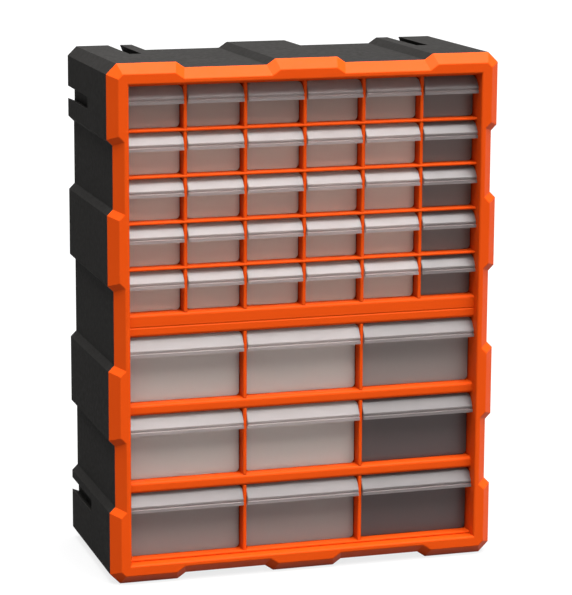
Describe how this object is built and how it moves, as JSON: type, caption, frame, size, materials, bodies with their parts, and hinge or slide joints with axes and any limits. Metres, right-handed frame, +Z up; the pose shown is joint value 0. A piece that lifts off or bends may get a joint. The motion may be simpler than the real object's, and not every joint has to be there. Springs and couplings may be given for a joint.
{
  "type": "drawer parts cabinet",
  "caption": "Upright parts cabinet: small drawers above large ones, pulled by lips, in a coloured front frame on a dark casing with raised pads and dovetail joining channels.",
  "frame": {"origin": "middle of the footprint, on the surface that the cabinet stands on", "axes": "+Z up, +X to the right seen from the front, drawers open towards -Y"},
  "size_m": [0.376, 0.17, 0.485],
  "materials": {
    "casing_plastic": "matt charcoal polypropylene, lightly grained",
    "frame_plastic": "orange moulded plastic, satin",
    "drawer_plastic": "translucent frosted plastic, smoky"
  },
  "bodies": {
    "cabinet": {"rear_casing": "casing_plastic", "rear_rails": "casing_plastic", "front_frame": "frame_plastic", "small_shelves": "frame_plastic", "large_shelves": "frame_plastic", "wide_rail": "frame_plastic", "bottom_plate": "frame_plastic", "small_dividers": "frame_plastic", "large_dividers": "frame_plastic"},
    "small_drawer_r1c1": {"small_drawer_r1c1": "drawer_plastic"},
    "small_drawer_r1c2": {"small_drawer_r1c2": "drawer_plastic"},
    "small_drawer_r1c3": {"small_drawer_r1c3": "drawer_plastic"},
    "small_drawer_r1c4": {"small_drawer_r1c4": "drawer_plastic"},
    "small_drawer_r1c5": {"small_drawer_r1c5": "drawer_plastic"},
    "small_drawer_r1c6": {"small_drawer_r1c6": "drawer_plastic"},
    "small_drawer_r2c1": {"small_drawer_r2c1": "drawer_plastic"},
    "small_drawer_r2c2": {"small_drawer_r2c2": "drawer_plastic"},
    "small_drawer_r2c3": {"small_drawer_r2c3": "drawer_plastic"},
    "small_drawer_r2c4": {"small_drawer_r2c4": "drawer_plastic"},
    "small_drawer_r2c5": {"small_drawer_r2c5": "drawer_plastic"},
    "small_drawer_r2c6": {"small_drawer_r2c6": "drawer_plastic"},
    "small_drawer_r3c1": {"small_drawer_r3c1": "drawer_plastic"},
    "small_drawer_r3c2": {"small_drawer_r3c2": "drawer_plastic"},
    "small_drawer_r3c3": {"small_drawer_r3c3": "drawer_plastic"},
    "small_drawer_r3c4": {"small_drawer_r3c4": "drawer_plastic"},
    "small_drawer_r3c5": {"small_drawer_r3c5": "drawer_plastic"},
    "small_drawer_r3c6": {"small_drawer_r3c6": "drawer_plastic"},
    "small_drawer_r4c1": {"small_drawer_r4c1": "drawer_plastic"},
    "small_drawer_r4c2": {"small_drawer_r4c2": "drawer_plastic"},
    "small_drawer_r4c3": {"small_drawer_r4c3": "drawer_plastic"},
    "small_drawer_r4c4": {"small_drawer_r4c4": "drawer_plastic"},
    "small_drawer_r4c5": {"small_drawer_r4c5": "drawer_plastic"},
    "small_drawer_r4c6": {"small_drawer_r4c6": "drawer_plastic"},
    "small_drawer_r5c1": {"small_drawer_r5c1": "drawer_plastic"},
    "small_drawer_r5c2": {"small_drawer_r5c2": "drawer_plastic"},
    "small_drawer_r5c3": {"small_drawer_r5c3": "drawer_plastic"},
    "small_drawer_r5c4": {"small_drawer_r5c4": "drawer_plastic"},
    "small_drawer_r5c5": {"small_drawer_r5c5": "drawer_plastic"},
    "small_drawer_r5c6": {"small_drawer_r5c6": "drawer_plastic"},
    "large_drawer_r1c1": {"large_drawer_r1c1": "drawer_plastic"},
    "large_drawer_r1c2": {"large_drawer_r1c2": "drawer_plastic"},
    "large_drawer_r1c3": {"large_drawer_r1c3": "drawer_plastic"},
    "large_drawer_r2c1": {"large_drawer_r2c1": "drawer_plastic"},
    "large_drawer_r2c2": {"large_drawer_r2c2": "drawer_plastic"},
    "large_drawer_r2c3": {"large_drawer_r2c3": "drawer_plastic"},
    "large_drawer_r3c1": {"large_drawer_r3c1": "drawer_plastic"},
    "large_drawer_r3c2": {"large_drawer_r3c2": "drawer_plastic"},
    "large_drawer_r3c3": {"large_drawer_r3c3": "drawer_plastic"}
  },
  "joints": [
    {"name": "small_drawer_r1c1_slide", "type": "slide", "parent": "cabinet", "child": "small_drawer_r1c1", "axis": [0, -1, 0], "range_m": [0, 0.111]},
    {"name": "small_drawer_r1c2_slide", "type": "slide", "parent": "cabinet", "child": "small_drawer_r1c2", "axis": [0, -1, 0], "range_m": [0, 0.111]},
    {"name": "small_drawer_r1c3_slide", "type": "slide", "parent": "cabinet", "child": "small_drawer_r1c3", "axis": [0, -1, 0], "range_m": [0, 0.111]},
    {"name": "small_drawer_r1c4_slide", "type": "slide", "parent": "cabinet", "child": "small_drawer_r1c4", "axis": [0, -1, 0], "range_m": [0, 0.111]},
    {"name": "small_drawer_r1c5_slide", "type": "slide", "parent": "cabinet", "child": "small_drawer_r1c5", "axis": [0, -1, 0], "range_m": [0, 0.111]},
    {"name": "small_drawer_r1c6_slide", "type": "slide", "parent": "cabinet", "child": "small_drawer_r1c6", "axis": [0, -1, 0], "range_m": [0, 0.111]},
    {"name": "small_drawer_r2c1_slide", "type": "slide", "parent": "cabinet", "child": "small_drawer_r2c1", "axis": [0, -1, 0], "range_m": [0, 0.111]},
    {"name": "small_drawer_r2c2_slide", "type": "slide", "parent": "cabinet", "child": "small_drawer_r2c2", "axis": [0, -1, 0], "range_m": [0, 0.111]},
    {"name": "small_drawer_r2c3_slide", "type": "slide", "parent": "cabinet", "child": "small_drawer_r2c3", "axis": [0, -1, 0], "range_m": [0, 0.111]},
    {"name": "small_drawer_r2c4_slide", "type": "slide", "parent": "cabinet", "child": "small_drawer_r2c4", "axis": [0, -1, 0], "range_m": [0, 0.111]},
    {"name": "small_drawer_r2c5_slide", "type": "slide", "parent": "cabinet", "child": "small_drawer_r2c5", "axis": [0, -1, 0], "range_m": [0, 0.111]},
    {"name": "small_drawer_r2c6_slide", "type": "slide", "parent": "cabinet", "child": "small_drawer_r2c6", "axis": [0, -1, 0], "range_m": [0, 0.111]},
    {"name": "small_drawer_r3c1_slide", "type": "slide", "parent": "cabinet", "child": "small_drawer_r3c1", "axis": [0, -1, 0], "range_m": [0, 0.111]},
    {"name": "small_drawer_r3c2_slide", "type": "slide", "parent": "cabinet", "child": "small_drawer_r3c2", "axis": [0, -1, 0], "range_m": [0, 0.111]},
    {"name": "small_drawer_r3c3_slide", "type": "slide", "parent": "cabinet", "child": "small_drawer_r3c3", "axis": [0, -1, 0], "range_m": [0, 0.111]},
    {"name": "small_drawer_r3c4_slide", "type": "slide", "parent": "cabinet", "child": "small_drawer_r3c4", "axis": [0, -1, 0], "range_m": [0, 0.111]},
    {"name": "small_drawer_r3c5_slide", "type": "slide", "parent": "cabinet", "child": "small_drawer_r3c5", "axis": [0, -1, 0], "range_m": [0, 0.111]},
    {"name": "small_drawer_r3c6_slide", "type": "slide", "parent": "cabinet", "child": "small_drawer_r3c6", "axis": [0, -1, 0], "range_m": [0, 0.111]},
    {"name": "small_drawer_r4c1_slide", "type": "slide", "parent": "cabinet", "child": "small_drawer_r4c1", "axis": [0, -1, 0], "range_m": [0, 0.111]},
    {"name": "small_drawer_r4c2_slide", "type": "slide", "parent": "cabinet", "child": "small_drawer_r4c2", "axis": [0, -1, 0], "range_m": [0, 0.111]},
    {"name": "small_drawer_r4c3_slide", "type": "slide", "parent": "cabinet", "child": "small_drawer_r4c3", "axis": [0, -1, 0], "range_m": [0, 0.111]},
    {"name": "small_drawer_r4c4_slide", "type": "slide", "parent": "cabinet", "child": "small_drawer_r4c4", "axis": [0, -1, 0], "range_m": [0, 0.111]},
    {"name": "small_drawer_r4c5_slide", "type": "slide", "parent": "cabinet", "child": "small_drawer_r4c5", "axis": [0, -1, 0], "range_m": [0, 0.111]},
    {"name": "small_drawer_r4c6_slide", "type": "slide", "parent": "cabinet", "child": "small_drawer_r4c6", "axis": [0, -1, 0], "range_m": [0, 0.111]},
    {"name": "small_drawer_r5c1_slide", "type": "slide", "parent": "cabinet", "child": "small_drawer_r5c1", "axis": [0, -1, 0], "range_m": [0, 0.111]},
    {"name": "small_drawer_r5c2_slide", "type": "slide", "parent": "cabinet", "child": "small_drawer_r5c2", "axis": [0, -1, 0], "range_m": [0, 0.111]},
    {"name": "small_drawer_r5c3_slide", "type": "slide", "parent": "cabinet", "child": "small_drawer_r5c3", "axis": [0, -1, 0], "range_m": [0, 0.111]},
    {"name": "small_drawer_r5c4_slide", "type": "slide", "parent": "cabinet", "child": "small_drawer_r5c4", "axis": [0, -1, 0], "range_m": [0, 0.111]},
    {"name": "small_drawer_r5c5_slide", "type": "slide", "parent": "cabinet", "child": "small_drawer_r5c5", "axis": [0, -1, 0], "range_m": [0, 0.111]},
    {"name": "small_drawer_r5c6_slide", "type": "slide", "parent": "cabinet", "child": "small_drawer_r5c6", "axis": [0, -1, 0], "range_m": [0, 0.111]},
    {"name": "large_drawer_r1c1_slide", "type": "slide", "parent": "cabinet", "child": "large_drawer_r1c1", "axis": [0, -1, 0], "range_m": [0, 0.111]},
    {"name": "large_drawer_r1c2_slide", "type": "slide", "parent": "cabinet", "child": "large_drawer_r1c2", "axis": [0, -1, 0], "range_m": [0, 0.111]},
    {"name": "large_drawer_r1c3_slide", "type": "slide", "parent": "cabinet", "child": "large_drawer_r1c3", "axis": [0, -1, 0], "range_m": [0, 0.111]},
    {"name": "large_drawer_r2c1_slide", "type": "slide", "parent": "cabinet", "child": "large_drawer_r2c1", "axis": [0, -1, 0], "range_m": [0, 0.111]},
    {"name": "large_drawer_r2c2_slide", "type": "slide", "parent": "cabinet", "child": "large_drawer_r2c2", "axis": [0, -1, 0], "range_m": [0, 0.111]},
    {"name": "large_drawer_r2c3_slide", "type": "slide", "parent": "cabinet", "child": "large_drawer_r2c3", "axis": [0, -1, 0], "range_m": [0, 0.111]},
    {"name": "large_drawer_r3c1_slide", "type": "slide", "parent": "cabinet", "child": "large_drawer_r3c1", "axis": [0, -1, 0], "range_m": [0, 0.111]},
    {"name": "large_drawer_r3c2_slide", "type": "slide", "parent": "cabinet", "child": "large_drawer_r3c2", "axis": [0, -1, 0], "range_m": [0, 0.111]},
    {"name": "large_drawer_r3c3_slide", "type": "slide", "parent": "cabinet", "child": "large_drawer_r3c3", "axis": [0, -1, 0], "range_m": [0, 0.111]}
  ]
}
